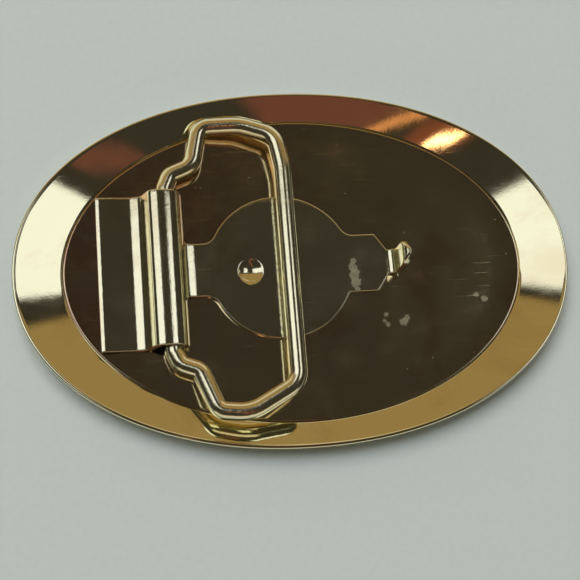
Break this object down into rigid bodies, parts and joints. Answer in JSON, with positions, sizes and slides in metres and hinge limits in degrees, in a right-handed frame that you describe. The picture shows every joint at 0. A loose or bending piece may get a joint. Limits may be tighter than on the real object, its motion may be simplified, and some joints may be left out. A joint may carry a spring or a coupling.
{
  "type": "belt buckle",
  "caption": "Oval plate belt buckle with a swinging wire bail in a rolled barrel and a hook on the back.",
  "frame": {"origin": "middle of the front face, which lies on the surface", "axes": "+X from the bail towards the hook, +Z out of the back, +Y along the barrel"},
  "size_m": [0.0952, 0.0624, 0.009],
  "materials": {
    "front_shell": "polished pale gold plating with light scratches",
    "back_plate": "polished, tarnished and stained",
    "hinge_plate": "polished pale gold plating with smudges",
    "bail": "polished pale gold plating"
  },
  "bodies": {
    "buckle": {"front_shell": "front_shell", "back_plate": "back_plate", "hinge_plate": "hinge_plate"},
    "bail": {"bail": "bail"}
  },
  "joints": [
    {"name": "bail_swing", "type": "hinge", "parent": "buckle", "child": "bail", "pos_m": [-0.022, 0, 0.00395], "axis": [0, -1, 0], "range_deg": [-2.5, 160]}
  ]
}
